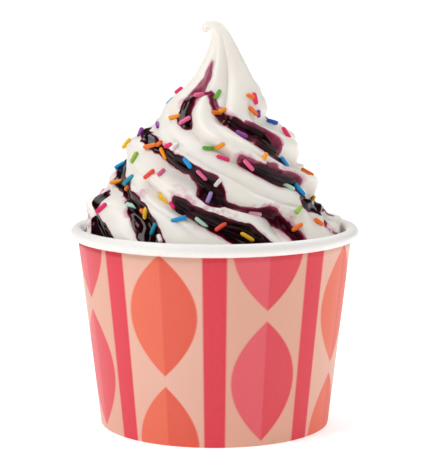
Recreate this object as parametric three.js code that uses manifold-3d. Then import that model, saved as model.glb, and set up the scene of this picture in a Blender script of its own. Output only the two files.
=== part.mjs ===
// Frozen yogurt cup: a rolled-rim paper cup with a raised base, filled with soft-serve frozen
// yogurt that is piped into a twisted peak, with berry sauce in its grooves and sugar sprinkles.
// Millimetres, +Z up. The origin is the middle of the ring that the cup stands on.
import * as THREE from 'three';
import { mergeVertices } from 'three/addons/utils/BufferGeometryUtils.js';
import Module from 'manifold-3d';

// Cup
const CUP_HEIGHT = 69.5;
const RIM_RADIUS = 50;
const ROLL_RADIUS = 2.2; // of the rolled rim's section
const FOOT_RADIUS = 39.95;
const PAPER = 0.6;
const HEM_HEIGHT = 5.5; // the wall's lower edge, folded inwards
const HEM_THICKNESS = 2.0;
const FOOT_ROUNDING = 0.4;
const CLEARANCE = 0.3; // between pieces that touch
const CUP_SIDES = 60;
const ROLL_CENTRE_Z = CUP_HEIGHT - ROLL_RADIUS;
const ROLL_CENTRE_R = RIM_RADIUS - ROLL_RADIUS;
const WALL_TOP_Z = 65; // where the wall meets the underside of the roll
const WALL_TOP_R = 47.5;

// Yogurt. Each station of the mound is [x of its middle, height, radius over the ridges].
const FILL_LINE_Z = 62.5;
const MOUND = [
  [0, FILL_LINE_Z, 46.3],
  [-0.4, 66.5, 45],
  [-1.8, 72, 42.9],
  [-2.3, 79, 39.2],
  [-1.4, 87, 34.4],
  [-0.7, 96, 29.3],
  [0, 102, 25.8],
  [0.1, 107.5, 19.8],
  [1.2, 113.5, 16.4],
  [2.9, 120, 11.4],
  [3.1, 127, 7.4],
  [2.2, 134, 3.9],
  [1, 137, 2.7],
  [-0.7, 138.45, 2.05],
  [-2.2, 138.45, 1.75],
  [-3.05, 137.6, 1.5],
  [-3.25, 136.8, 1.25],
  [-3.2, 136.2, 0.7],
];
const TIP = new THREE.Vector3(-3.15, 0, 135.9);
const CURL_START = 12 / (MOUND.length - 1); // share of the stations below the curl
const UPRIGHT_BELOW = 126; // sections are level up to here, and square to the curl above CURL_FROM
const CURL_FROM = 134;

// The grooves between the ridges, as [angle at the peak, angle at the rim, height where the
// groove begins to swing round, height where it runs straight down again]. Degrees from +X.
// A place in the swirl is a groove's index, and a fraction lies on the ridge above that groove.
const GROOVES = [
  [102, 217, 105, 66],
  [134, 241, 108, 74],
  [158, 292, 112, 66],
  [178, 305, 113, 76],
  [239, 362, 111, 73],
  [280, 384, 112, 73],
  [313, 414, 112, 72],
  [350, 448, 114, 73],
  [379, 482, 111, 72],
  [404, 513, 110, 73],
  [433, 545, 107, 69],
];
// One groove lags behind where the sauce pools in it.
const BEND = { groove: 3, degrees: -11, height: 82, above: 8, below: 4 };
const SWING_EASE = 0.15; // share of a swing over which it starts and stops
// The swirl lies higher on one side, by a share of its height over the fill line. It rises and
// falls over these angles and fades out over these heights.
const LIFT = { share: 0.2, rise: [312, 352], fall: [362, 530], fade: [104, 130] };
// Ridges from the first groove to the last are apart below and one above.
const MERGES = [
  { first: 1, last: 3, apart: 85, one: 93 },
  { first: 5, last: 8, apart: 108, one: 117 },
  { first: 9, last: 11, apart: 104, one: 112 },
];
const GROOVE_SHARE = 0.14; // groove depth over mound radius
const SPIRE_SHARE = 0.24; // the same on the spire
const SPIRE_HEIGHTS = [110, 122]; // from the one to the other
const GROOVE_FROM_Z = 63;
const GROOVE_FULL_Z = 76;
const SMOOTH_RADIUS = 8; // the grooves run out where the peak is thinner than this
const CROWN_AT = 0.36; // a ridge's crown, as a share of the way from its lower groove
const CROWN_POWER = 2.2;
const SPIRE_POWER = 1.5; // the same on the spire
const MERGED_POWER = 1.7;

// A shallow crease along some ridges: [index of the ridge's lower groove, share of the ridge's
// width, depth as a share of the groove's, top height, bottom height].
const CREASES = [
  [3, 0.46, 0.34, 104, 66],
  [1, 0.55, 0.16, 90, 66],
  [4, 0.5, 0.22, 100, 66],
  [5, 0.5, 0.4, 97, 66],
  [6, 0.46, 0.3, 106, 66],
  [8, 0.55, 0.26, 100, 66],
  [10, 0.45, 0.3, 102, 66],
];
const CREASE_HALF_WIDTH = 0.17;
const CREASE_FADE = 4;
const CREASE_POWER = 1.5;

// Swellings and dents: [angle, height, half angle, half height, how far out]
const LUMPS = [
  [-4, 108, 50, 2.2, -1.9],
  [2, 98.2, 45, 4.6, 2.1],
  [-4, 92.4, 45, 2.1, -2],
  [-8, 85.4, 45, 4.4, 2.3],
  [4, 79, 40, 2.6, -1.4],
  [4, 70, 40, 3.2, 3],
  [185, 110, 45, 3.5, 0.8],
  [185, 104.6, 45, 2.6, -1.4],
  [182, 97.4, 45, 3.6, 1.8],
  [188, 83.4, 45, 3, -1.4],
  [186, 77.2, 40, 4, 2.8],
  [70, 90, 40, 4, 1.6],
  [120, 98, 40, 4, 1.4],
];

// A stroke is a line of nodes [place in the swirl, height, half width].
// One notch crosses the crest of the spire, and a ridge begins below it with a round nose.
const NOTCH = [
  [4.2, 117.2, 1.6],
  [4.42, 116.4, 1.8],
  [4.62, 114, 1.9],
  [4.76, 111, 2],
  [4.84, 108.4, 2.2],
];
const NOTCH_DEPTH = 1.9;
const NOTCH_EDGE = [-1.2, 1.8]; // how far inside its stroke it starts and is deepest

// Sauce: [thickness as a share of SAUCE_DEPTH, softness of its edge, stroke]. The softness is how
// far inside its edge the sauce is two thirds as thick as it gets.
const CRISP = 0.55;
const SOFT = 1.1;
const SHEET = 1.8;
const SAUCE = [
  // down the left of the spire, over the nose and down its right
  [0.2, SOFT, [[4.1, 127, 0.5], [3.92, 122.5, 2], [3.82, 118.5, 2.8], [3.82, 116.5, 3]]],
  [0.5, SOFT, [[3.8, 117.5, 2], [3.82, 115.5, 2.6], [3.84, 114, 2.4]]],
  [1, CRISP, [[3.84, 114.6, 2], [3.85, 111.5, 2.7], [3.85, 108.6, 2.5], [3.9, 106.6, 2.1]]],
  [0.4, SOFT, [[4, 117.6, 0.9], [4.32, 117.3, 1.2], [4.62, 115.4, 1.5], [4.76, 112.8, 1.8],
    [4.82, 111, 1.8]]],
  [1, SOFT, [[4.74, 111.8, 2.2], [4.97, 108.2, 3], [5.15, 105.4, 3.8], [5.2, 102.8, 4], [5.08, 99, 3.6],
    [4.93, 95, 2.9], [4.76, 92, 1.6]]],
  [0.55, SHEET, [[5.3, 107.3, 2.2], [5.6, 105.8, 3.3], [5.62, 103.2, 3.8], [5.42, 100, 3.4],
    [5.15, 96.4, 2.2]]],
  // the groove below it, with the pool where it ends and a drip from that
  [1, SOFT, [[4.18, 96.6, 1.8], [4.13, 93.6, 2.6], [4.12, 91, 3], [4.08, 87.8, 3], [3.9, 84, 2.6],
    [3.72, 80.8, 2.4]]],
  [0.5, SHEET, [[4.25, 95.6, 1.8], [4.28, 93.6, 2.2], [4.25, 91.6, 2]]],
  [0.5, SHEET, [[4.32, 89, 2.2], [4.24, 85.6, 2.6], [4.05, 82, 2]]],
  [1.4, SOFT, [[3.66, 79, 2.2], [3.66, 77.2, 3], [3.72, 75.6, 2.8], [3.58, 75.4, 2.2]]],
  [2, SOFT, [[4.1, 76.2, 1.5], [4.28, 75.2, 1.5]]],
  [0.4, SOFT, [[3.95, 74.2, 0.9], [4.3, 71.9, 1], [4.17, 70.8, 1.2], [3.8, 70.8, 1.2], [3.6, 70.2, 1],
    [3.56, 69.6, 0.9]]],
  [0.6, CRISP, [[3.56, 69, 0.4], [3.6, 67.8, 0.4], [3.73, 66.5, 0.4]]],
  // the long one across the front, and the crease that leads it on
  [1, CRISP, [[1.9, 103.6, 1.8], [2.59, 103.4, 2.8], [3.1, 101, 2.8], [3.21, 98.4, 2.7],
    [3.22, 96, 2.7], [3.17, 93.5, 2.8], [3.12, 90.8, 3.4], [3.04, 87.6, 4.2], [2.98, 84.8, 4],
    [2.9, 82.5, 2.8]]],
  [0.6, CRISP, [[2.78, 81.2, 0.8], [2.74, 80.2, 0.45], [3.06, 81, 0.5], [3.09, 80.6, 0.8]]],
  [1, CRISP, [[3.06, 80.2, 2.2], [2.97, 78.5, 3.2], [2.95, 76, 3.2], [3, 73.4, 3.5], [3.05, 70.6, 4.2],
    [3.06, 64, 4.8]]],
  [0.45, SHEET, [[3.08, 79.6, 2], [3.08, 77, 3], [3.14, 73.8, 3.2], [3.2, 71, 3]]],
  [1, CRISP, [[2.15, 83.6, 1.6], [2.14, 82, 2.7], [2.14, 80, 2.8], [2.1, 77.5, 2.9], [2.1, 75.4, 3.5],
    [2.06, 73, 4.8], [2, 70.4, 6.3], [2, 64, 7]]],
  [0.45, SHEET, [[2.2, 83.4, 2.2], [2.24, 80, 2.6], [2.26, 77.5, 3], [2.3, 75, 3.2], [2.22, 72, 4]]],
  // the left
  [1, CRISP, [[1, 90.6, 2.2], [0.88, 88.6, 3.5], [0.97, 86.6, 3.1], [1.1, 84.8, 2.7], [1.06, 81.9, 3.6],
    [1.02, 79.4, 4.6], [0.94, 76.5, 5.3], [0.95, 73.2, 5.6], [1.06, 69.5, 6.2], [1.1, 64, 6.8]]],
  [1, CRISP, [[0.5, 81.5, 2.6], [0.42, 78.8, 4.2], [0.24, 76, 4.2], [0.02, 73.6, 3.8], [-0.02, 71.5, 4],
    [0, 68.3, 5.2], [0, 64, 6]]],
  // round the back
  [1, CRISP, [[5, 84, 1.4], [5.05, 79, 2.8], [5, 72, 3.2], [5.05, 64, 3.9]]],
  [1, CRISP, [[6.08, 91, 1.1], [6.05, 87, 2.6], [6, 81, 2.5], [6.05, 74, 3.7], [6, 64, 4.4]]],
  [0.5, SHEET, [[6.35, 86, 1.4], [6.4, 82, 2.5], [6.3, 78, 1.8]]],
  [1, CRISP, [[7.1, 103, 1.1], [7.05, 98, 2.5], [6.95, 90, 3], [7.05, 80, 2.8], [7, 70, 1.1]]],
  [1, CRISP, [[7.9, 112, 0.9], [8, 106, 2.1], [8.05, 99, 2.8], [7.95, 92, 3.2], [8, 84, 3.7],
    [8.05, 78, 2.1]]],
  [0.5, SHEET, [[8.3, 101, 1.6], [8.35, 95, 2.8], [8.2, 89, 1.8]]],
  [1, CRISP, [[9, 88, 1.6], [9.05, 83, 3], [9, 74, 3.7], [9.05, 64, 4.6]]],
  [1, CRISP, [[10.05, 107, 1.1], [9.97, 101, 2.5], [10.05, 94, 2.5], [10, 86, 3.4], [10.05, 78, 3.9],
    [10, 70, 2.3]]],
];
const SAUCE_DEPTH = 1.1;
const POOL_FLOOR = 0.3; // height of a ridge's yogurt under sauce, as a share of its full height
const POOL_EDGE = [-0.6, 2.6]; // how far inside its stroke the sauce starts to sink and is deepest

const SHARES = [0, 0.08, 0.2, 0.36, 0.54, 0.72, 0.89]; // columns across each ridge
const MOUND_ROWS = 47; // from the fill line to the curl
const CURL_ROWS = 9;

// Sprinkles
const SPRINKLE_COUNT = 50;
const SPRINKLE_LENGTH = 4.3;
const SPRINKLE_RADIUS = 0.75;
const SPRINKLE_ENDS = 0.6; // length of an end's taper over the radius
const SPRINKLE_SIDES = 5;
const SPRINKLE_SUNK = 0.35; // share of its radius that lies in the yogurt
const SPRINKLE_BAND = { lowZ: 75, lowRadius: 40, highZ: 113, highRadius: 17 };
const SPRINKLE_STRAY = 0.04; // share of a turn by which one strays from an even spread
const SPRINKLE_SEED = 8;
const GOLDEN_SHARE = 0.381966;

// Small steps up the mound and round it, from which a direction on its surface is measured
const STEP_ALONG = 0.004;
const STEP_ROUND = 0.06; // of a ridge
const SLOPE_STEPS = 400; // pieces of the outline of which the lengths are added up
const HALVINGS = 30; // when a height is looked up on the outline
const MERGE_DISTANCE = 1e-4;

const wasm = await Module();
wasm.setup();

const { lerp, clamp, smoothstep, euclideanModulo, degToRad: radians } = THREE.MathUtils;

function seededRandom(seed) {
  let state = seed;
  return () => {
    state = (state * 16807) % 2147483647;
    return state / 2147483647;
  };
}

// The outer radius of the cup's tapered wall
function wallRadius(z) {
  return lerp(FOOT_RADIUS, WALL_TOP_R, z / WALL_TOP_Z);
}

// 1 in the middle and 0 where the offset reaches 1
function bump(offset) {
  return Math.max(0, 1 - offset * offset) ** 2;
}

// From 0 to 1 at an even rate, with an eased start and end
function easedRamp(t) {
  const e = SWING_EASE;
  if (t <= 0) return 0;
  if (t >= 1) return 1;
  if (t < e) return (t * t) / (2 * e * (1 - e));
  if (t > 1 - e) return 1 - (1 - t) ** 2 / (2 * e * (1 - e));
  return (t - e / 2) / (1 - e);
}

function bendAt(groove, z) {
  if (groove !== BEND.groove) return 0;
  return BEND.degrees * bump((z - BEND.height) / (z > BEND.height ? BEND.above : BEND.below));
}

// The angle of a place in the swirl at a height. Places count on past a full turn.
function grooveAngle(place, z) {
  const whole = Math.floor(place);
  if (whole !== place) return lerp(grooveAngle(whole, z), grooveAngle(whole + 1, z), place - whole);
  const turns = Math.floor(place / GROOVES.length);
  const groove = place - turns * GROOVES.length;
  const [peak, rim, from, to] = GROOVES[groove];
  return lerp(peak, rim, easedRamp((from - z) / (from - to))) + bendAt(groove, z) + 360 * turns;
}

// How far the swirl is raised at this angle
function liftAt(angle, z) {
  const turned = [angle, angle + 360];
  const shares = turned.map((at) => smoothstep(at, ...LIFT.rise) - smoothstep(at, ...LIFT.fall));
  return LIFT.share * (z - FILL_LINE_Z) * (shares[0] + shares[1]) * (1 - smoothstep(z, ...LIFT.fade));
}

function crownHeight(share, power) {
  const side = share < CROWN_AT ? share / CROWN_AT - 1 : (share - CROWN_AT) / (1 - CROWN_AT);
  return 1 - Math.abs(side) ** power;
}

// Height of the yogurt over the bottom of its groove, from 0 to 1
function ridgeHeight(index, share, z) {
  const power = lerp(CROWN_POWER, SPIRE_POWER, smoothstep(z, ...SPIRE_HEIGHTS));
  let height = crownHeight(share, power);
  for (const { first, last, apart, one } of MERGES) {
    if (index < first || index >= last) continue;
    const low = grooveAngle(first, z);
    const along = (grooveAngle(index + share, z) - low) / (grooveAngle(last, z) - low);
    height = lerp(height, crownHeight(along, MERGED_POWER), smoothstep(z, apart, one));
  }
  for (const [ridge, at, depth, top, bottom] of CREASES) {
    if (ridge !== index) continue;
    const along = clamp((top - z) / CREASE_FADE, 0, 1) * clamp((z - bottom) / CREASE_FADE, 0, 1);
    const across = Math.max(0, 1 - Math.abs(share - at) / CREASE_HALF_WIDTH);
    height -= depth * along * across ** CREASE_POWER;
  }
  return height;
}

// How far the surface swells out here
function swelling(angle, z) {
  const outs = LUMPS.map(([at, height, halfAngle, halfHeight, out]) => {
    const turned = euclideanModulo(angle - at + 180, 360) - 180;
    return out * bump(turned / halfAngle) * bump((z - height) / halfHeight);
  });
  return outs.reduce((sum, out) => sum + out);
}

// The mound's outline as points (x of its middle, radius, height)
const outline = new THREE.CatmullRomCurve3(
  MOUND.map(([x, z, radius]) => new THREE.Vector3(x, radius, z)),
  false,
  'catmullrom',
);

// Lengths along the slope of the outline from the fill line
const slopeLengths = [0];
for (let i = 1; i <= SLOPE_STEPS; i += 1) {
  const before = outline.getPoint((i - 1) / SLOPE_STEPS);
  const after = outline.getPoint(i / SLOPE_STEPS);
  slopeLengths.push(slopeLengths[i - 1] + Math.hypot(after.y - before.y, after.z - before.z));
}

function slopeLength(t) {
  const i = Math.min(Math.floor(t * SLOPE_STEPS), SLOPE_STEPS - 1);
  return lerp(slopeLengths[i], slopeLengths[i + 1], t * SLOPE_STEPS - i);
}

// The share t of the outline at a height below the curl
function parameterAt(height) {
  let low = 0;
  let high = CURL_START;
  for (let i = 0; i < HALVINGS; i += 1) {
    const middle = (low + high) / 2;
    if (outline.getPoint(middle).z < height) low = middle;
    else high = middle;
  }
  return low;
}

// Where t comes to lie when it is raised by so many millimetres
function raised(t, rise) {
  return rise === 0 ? t : parameterAt(outline.getPoint(t).z + rise);
}

// The section of the mound at t, from 0 at the fill line to 1 at the end of the curl
function sectionAt(t) {
  const { x, y: radius, z } = outline.getPoint(t);
  const before = outline.getPoint(Math.max(0, t - STEP_ALONG));
  const after = outline.getPoint(Math.min(1, t + STEP_ALONG));
  const run = Math.hypot(after.x - before.x, after.z - before.z);
  const squareness = t > CURL_START ? 1 : smoothstep(z, UPRIGHT_BELOW, CURL_FROM);
  const tilt = squareness * Math.atan2(before.x - after.x, after.z - before.z);
  const rise = Math.atan2(before.y - after.y, run); // how far the surface faces upwards
  const opening = smoothstep(z, GROOVE_FROM_Z, GROOVE_FULL_Z); // of the grooves
  return { x, z, radius, tilt, rise, opening };
}

function grooveDepth({ z, radius, opening }) {
  const share = lerp(GROOVE_SHARE, SPIRE_SHARE, smoothstep(z, ...SPIRE_HEIGHTS));
  return share * radius * opening * Math.min(1, radius / SMOOTH_RADIUS);
}

// A stroke's nodes, by the angle round the mound and the length up its slope
function placeStroke(nodes) {
  return nodes.map(([place, height, halfWidth]) => {
    const angle = grooveAngle(place, height);
    const length = slopeLength(raised(parameterAt(height), liftAt(angle, height)));
    return { angle, length, halfWidth };
  });
}

const notch = placeStroke(NOTCH);
const sauce = SAUCE.map(([share, softness, nodes]) => ({ share, softness, stroke: placeStroke(nodes) }));

// How far inside the edge of a stroke a point lies, and below 0 outside it
function strokeReach(stroke, angle, length, radius) {
  let reach = -Infinity;
  for (let i = 1; i < stroke.length; i += 1) {
    const from = stroke[i - 1];
    const to = stroke[i];
    const startX = radians(euclideanModulo(from.angle - angle + 180, 360) - 180) * radius;
    const startY = from.length - length;
    const runX = radians(to.angle - from.angle) * radius;
    const runY = to.length - from.length;
    const share = clamp(-(startX * runX + startY * runY) / (runX * runX + runY * runY), 0, 1);
    const away = Math.hypot(startX + share * runX, startY + share * runY);
    reach = Math.max(reach, lerp(from.halfWidth, to.halfWidth, share) - away);
  }
  return reach;
}

// A point on the mound, sauce included, at a place in the swirl and at t up the outline, where t
// counts before the swirl is raised
function moundPoint(place, t) {
  const ridge = euclideanModulo(place, GROOVES.length);
  const index = Math.floor(ridge);
  const swirlZ = outline.getPoint(t).z;
  const angle = grooveAngle(ridge, swirlZ);
  const raisedT = raised(t, liftAt(angle, swirlZ));
  const section = sectionAt(raisedT);
  const length = slopeLength(raisedT);

  let pool = -Infinity;
  let cover = 0;
  for (const { share, softness, stroke } of sauce) {
    const reach = strokeReach(stroke, angle, length, section.radius);
    const rounded = 1 - Math.exp(-Math.max(0, reach) / softness);
    pool = Math.max(pool, reach);
    cover = Math.max(cover, share * SAUCE_DEPTH * rounded);
  }
  const full = ridgeHeight(index, ridge - index, swirlZ);
  const height = full - Math.max(0, full - POOL_FLOOR) * smoothstep(pool, ...POOL_EDGE);
  const dent = smoothstep(strokeReach(notch, angle, length, section.radius), ...NOTCH_EDGE);

  let out = grooveDepth(section) * (height - 1) - NOTCH_DEPTH * dent;
  out += swelling(angle, section.z) + cover * section.opening;
  const reach = section.radius + out * Math.cos(section.rise);
  const lift = out * Math.sin(section.rise);
  const across = reach * Math.cos(radians(angle));
  return new THREE.Vector3(
    section.x + across * Math.cos(section.tilt) - lift * Math.sin(section.tilt),
    reach * Math.sin(radians(angle)),
    section.z + across * Math.sin(section.tilt) + lift * Math.cos(section.tilt),
  );
}

// A closed surface from rings of equal length, from the bottom up, ended by two points
function closeRings(bottom, rings, top) {
  const points = [bottom, ...rings.flat(), top];
  const count = rings[0].length;
  const faces = [];
  const at = (row, column) => 1 + row * count + (column % count);
  for (let column = 0; column < count; column += 1) {
    faces.push(0, at(0, column + 1), at(0, column));
    faces.push(points.length - 1, at(rings.length - 1, column), at(rings.length - 1, column + 1));
    for (let row = 0; row + 1 < rings.length; row += 1) {
      faces.push(at(row, column), at(row, column + 1), at(row + 1, column + 1));
      faces.push(at(row, column), at(row + 1, column + 1), at(row + 1, column));
    }
  }
  const geometry = new THREE.BufferGeometry();
  const positions = points.flatMap((point) => point.toArray());
  geometry.setAttribute('position', new THREE.Float32BufferAttribute(positions, 3));
  geometry.setIndex(faces);
  return geometry;
}

// The places t of the mound's rows: even in height up to the curl, then even along it
function moundRows() {
  const rows = [];
  for (let row = 0; row < MOUND_ROWS; row += 1) {
    rows.push(parameterAt(lerp(FILL_LINE_Z, CURL_FROM, row / MOUND_ROWS)));
  }
  for (let row = 0; row <= CURL_ROWS; row += 1) rows.push(lerp(CURL_START, 1, row / CURL_ROWS));
  return rows;
}

function yogurtBody() {
  const floorZ = HEM_HEIGHT + 2 * CLEARANCE + PAPER;
  const floorRadius = wallRadius(floorZ) - PAPER - CLEARANCE;
  const places = GROOVES.flatMap((_, index) => SHARES.map((share) => index + share));
  const floor = places.map((place) => {
    const angle = radians(grooveAngle(place, FILL_LINE_Z));
    return new THREE.Vector3(floorRadius * Math.cos(angle), floorRadius * Math.sin(angle), floorZ);
  });
  const rings = moundRows().map((t) => places.map((place) => moundPoint(place, t)));
  return closeRings(new THREE.Vector3(0, 0, floorZ), [floor, ...rings], TIP);
}

// One sprinkle along +Y, its middle at the origin
function sprinkle() {
  const half = SPRINKLE_LENGTH / 2;
  const shoulder = half - SPRINKLE_RADIUS * SPRINKLE_ENDS;
  const profile = [
    new THREE.Vector2(0, -half),
    new THREE.Vector2(SPRINKLE_RADIUS, -shoulder),
    new THREE.Vector2(SPRINKLE_RADIUS, shoulder),
    new THREE.Vector2(0, half),
  ];
  return new THREE.LatheGeometry(profile, SPRINKLE_SIDES);
}

// Lays sprinkles evenly over the mound, each along the surface in a direction of its own
function sprinkleGeometries() {
  const { lowZ, lowRadius, highZ, highRadius } = SPRINKLE_BAND;
  const random = seededRandom(SPRINKLE_SEED);
  const laid = [];
  for (let i = 0; i < SPRINKLE_COUNT; i += 1) {
    const share = (i + 0.5) / SPRINKLE_COUNT;
    const radius = Math.sqrt(lerp(highRadius ** 2, lowRadius ** 2, share));
    const t = parameterAt(lerp(highZ, lowZ, (radius - highRadius) / (lowRadius - highRadius)));
    const turn = i * GOLDEN_SHARE + SPRINKLE_STRAY * (random() - 0.5);
    const place = turn * GROOVES.length;
    const along = moundPoint(place, t + STEP_ALONG).sub(moundPoint(place, t - STEP_ALONG)).normalize();
    const round = moundPoint(place + STEP_ROUND, t).sub(moundPoint(place - STEP_ROUND, t)).normalize();
    const normal = new THREE.Vector3().crossVectors(round, along).normalize();
    const heading = random() * Math.PI;
    const axis = along.multiplyScalar(Math.cos(heading)).addScaledVector(round, Math.sin(heading));
    axis.addScaledVector(normal, -axis.dot(normal)).normalize();
    const turned = new THREE.Quaternion().setFromUnitVectors(new THREE.Vector3(0, 1, 0), axis);
    const height = SPRINKLE_RADIUS * (1 - 2 * SPRINKLE_SUNK);
    const centre = moundPoint(place, t).addScaledVector(normal, height);
    laid.push(sprinkle().applyQuaternion(turned).translate(centre.x, centre.y, centre.z));
  }
  return laid;
}

function toSolid(geometry) {
  geometry.deleteAttribute('normal');
  geometry.deleteAttribute('uv');
  const merged = mergeVertices(geometry, MERGE_DISTANCE);
  const mesh = new wasm.Mesh({
    numProp: 3,
    vertProperties: new Float32Array(merged.attributes.position.array),
    triVerts: new Uint32Array(merged.index.array),
  });
  return new wasm.Manifold(mesh);
}

function toGeometry(solid) {
  const { vertProperties, triVerts } = solid.getMesh();
  const geometry = new THREE.BufferGeometry();
  geometry.setAttribute('position', new THREE.BufferAttribute(vertProperties, 3));
  geometry.setIndex(new THREE.BufferAttribute(triVerts, 1));
  return geometry;
}

function yogurtGeometry() {
  const sprinkles = sprinkleGeometries().map(toSolid);
  return toGeometry(sprinkles.reduce((joined, piece) => joined.add(piece), toSolid(yogurtBody())));
}

// The wall, its rolled rim and its folded hem, as one section turned round the axis
function cupWallGeometry() {
  const profile = [
    new THREE.Vector2(FOOT_RADIUS - FOOT_ROUNDING, 0),
    new THREE.Vector2(wallRadius(FOOT_ROUNDING), FOOT_ROUNDING),
    new THREE.Vector2(WALL_TOP_R, WALL_TOP_Z),
  ];
  for (let degrees = -88; degrees <= 112; degrees += 22) {
    const angle = radians(degrees);
    profile.push(new THREE.Vector2(
      ROLL_CENTRE_R + ROLL_RADIUS * Math.cos(angle),
      ROLL_CENTRE_Z + ROLL_RADIUS * Math.sin(angle),
    ));
  }
  profile.push(
    new THREE.Vector2(wallRadius(ROLL_CENTRE_Z) - PAPER, ROLL_CENTRE_Z),
    new THREE.Vector2(wallRadius(HEM_HEIGHT) - PAPER, HEM_HEIGHT),
    new THREE.Vector2(wallRadius(HEM_HEIGHT) - HEM_THICKNESS, HEM_HEIGHT),
    new THREE.Vector2(FOOT_RADIUS - HEM_THICKNESS, 0),
  );
  profile.push(profile[0].clone());
  return standUp(new THREE.LatheGeometry(profile, CUP_SIDES));
}

// The raised base, a paper disc that rests on the hem
function cupBaseGeometry() {
  const under = HEM_HEIGHT + CLEARANCE;
  const radius = wallRadius(under) - PAPER - CLEARANCE;
  const profile = [
    new THREE.Vector2(0, under),
    new THREE.Vector2(radius, under),
    new THREE.Vector2(radius, under + PAPER),
    new THREE.Vector2(0, under + PAPER),
  ];
  return standUp(new THREE.LatheGeometry(profile, CUP_SIDES));
}

// A lathe turns its section round +Y
function standUp(geometry) {
  return geometry.rotateX(Math.PI / 2);
}

function piece(name, geometry, color, roughness) {
  const material = new THREE.MeshStandardMaterial({ color, roughness, metalness: 0 });
  const mesh = new THREE.Mesh(geometry, material);
  mesh.name = name;
  return mesh;
}

const frozenYogurtCup = new THREE.Group();
frozenYogurtCup.add(piece('cup_wall', cupWallGeometry(), 0xefb8a0, 0.55));
frozenYogurtCup.add(piece('cup_base', cupBaseGeometry(), 0xf4f1ea, 0.6));
frozenYogurtCup.add(piece('yogurt', yogurtGeometry(), 0xf5f2ea, 0.45));

export default frozenYogurtCup;
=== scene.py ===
"""Frozen yogurt cup: the looks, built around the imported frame.

Shapes are worked out in millimetres, in the frame of the CAD model, and become metres when a
mesh is made. Angles go round from +X in degrees, and the front of the cup faces -Y.
"""

import math
import random

import bpy
import numpy as np
from mathutils import Matrix, Vector
from mathutils.bvhtree import BVHTree


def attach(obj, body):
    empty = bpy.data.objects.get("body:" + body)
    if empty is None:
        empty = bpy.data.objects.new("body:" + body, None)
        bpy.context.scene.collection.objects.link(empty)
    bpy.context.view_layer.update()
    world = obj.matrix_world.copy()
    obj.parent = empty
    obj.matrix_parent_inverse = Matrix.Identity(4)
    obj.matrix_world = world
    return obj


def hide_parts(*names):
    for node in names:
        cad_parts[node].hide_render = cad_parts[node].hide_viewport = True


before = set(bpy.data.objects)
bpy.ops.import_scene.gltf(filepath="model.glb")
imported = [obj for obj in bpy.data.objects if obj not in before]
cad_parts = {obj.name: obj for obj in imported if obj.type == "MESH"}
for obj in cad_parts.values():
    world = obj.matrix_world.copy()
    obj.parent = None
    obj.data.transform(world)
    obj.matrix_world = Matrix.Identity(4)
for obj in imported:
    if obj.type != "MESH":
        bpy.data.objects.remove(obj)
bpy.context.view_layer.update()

MM = 0.001

# ---- Driving sizes, as in the CAD model ----

CUP_HEIGHT = 69.5
RIM_RADIUS = 50.0
ROLL_RADIUS = 2.2
ROLL_CENTRE_R = RIM_RADIUS - ROLL_RADIUS
ROLL_CENTRE_Z = CUP_HEIGHT - ROLL_RADIUS
FOOT_RADIUS = 39.95
FOOT_ROUNDING = 0.4
WALL_TOP_Z = 65
WALL_TOP_R = 47.5
PAPER = 0.6
HEM_HEIGHT = 5.5
HEM_THICKNESS = 2.0
CLEARANCE = 0.3

FILL_LINE_Z = 62.5
# Each station of the mound is (x of its middle, height, radius over the ridges).
MOUND = (
    (0, FILL_LINE_Z, 46.3),
    (-0.4, 66.5, 45),
    (-1.8, 72, 42.9),
    (-2.3, 79, 39.2),
    (-1.4, 87, 34.4),
    (-0.7, 96, 29.3),
    (0, 102, 25.8),
    (0.1, 107.5, 19.8),
    (1.2, 113.5, 16.4),
    (2.9, 120, 11.4),
    (3.1, 127, 7.4),
    (2.2, 134, 3.9),
    (1, 137, 2.7),
    (-0.7, 138.45, 2.05),
    (-2.2, 138.45, 1.75),
    (-3.05, 137.6, 1.5),
    (-3.25, 136.8, 1.25),
    (-3.2, 136.2, 0.7),
)
TIP = (-3.15, 0, 135.9)
CURL_STATION = 12
CURL_START = CURL_STATION / (len(MOUND) - 1)
# Sections are level up to the first height, and square to the mound's middle line from the second.
UPRIGHT_BELOW = 126
CURL_FROM = 134
UPRIGHT_SAMPLES = 2000
SLOPE_SAMPLES = 3000
SLOPE_STEP = 0.004

# Grooves: (angle at the peak, angle at the rim, height where it starts to swing round, height
# where it runs straight down again)
GROOVES = (
    (102, 217, 105, 66),
    (134, 241, 108, 74),
    (158, 292, 112, 66),
    (178, 305, 113, 76),
    (239, 362, 111, 73),
    (280, 384, 112, 73),
    (313, 414, 112, 72),
    (350, 448, 114, 73),
    (379, 482, 111, 72),
    (404, 513, 110, 73),
    (433, 545, 107, 69),
)
# One groove bends aside round a height.
BEND_GROOVE, BEND_DEGREES, BEND_HEIGHT, BEND_ABOVE, BEND_BELOW = 3, -11, 82, 8, 4
# Ridges that are one higher up: (first groove, last groove, apart below, one above)
MERGES = (
    (1, 3, 85, 93),
    (5, 8, 108, 117),
    (9, 11, 104, 112),
)
SWING_EASE = 0.15
# The swirl lies higher on one side of the cup, by a share of its height over the fill line. That
# begins and ends over these angles, and fades out over these heights.
LIFT_SHARE = 0.2
LIFT_RISE = (312, 352)
LIFT_FALL = (362, 530)
LIFT_FADE = (104, 130)
GROOVE_SHARE = 0.14  # its depth as a share of the mound's radius
SPIRE_SHARE = 0.24
SPIRE_HEIGHTS = (110, 122)
SPIRE_POWER = 1.5
GROOVE_FROM_Z = 63
GROOVE_FULL_Z = 76
SMOOTH_RADIUS = 8  # of the mound, below which its grooves fade out
# Across a ridge: where its crown lies, and how full it is, also where ridges have become one
CROWN_AT = 0.36
CROWN_POWER = 2.2
MERGED_POWER = 1.7

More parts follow.
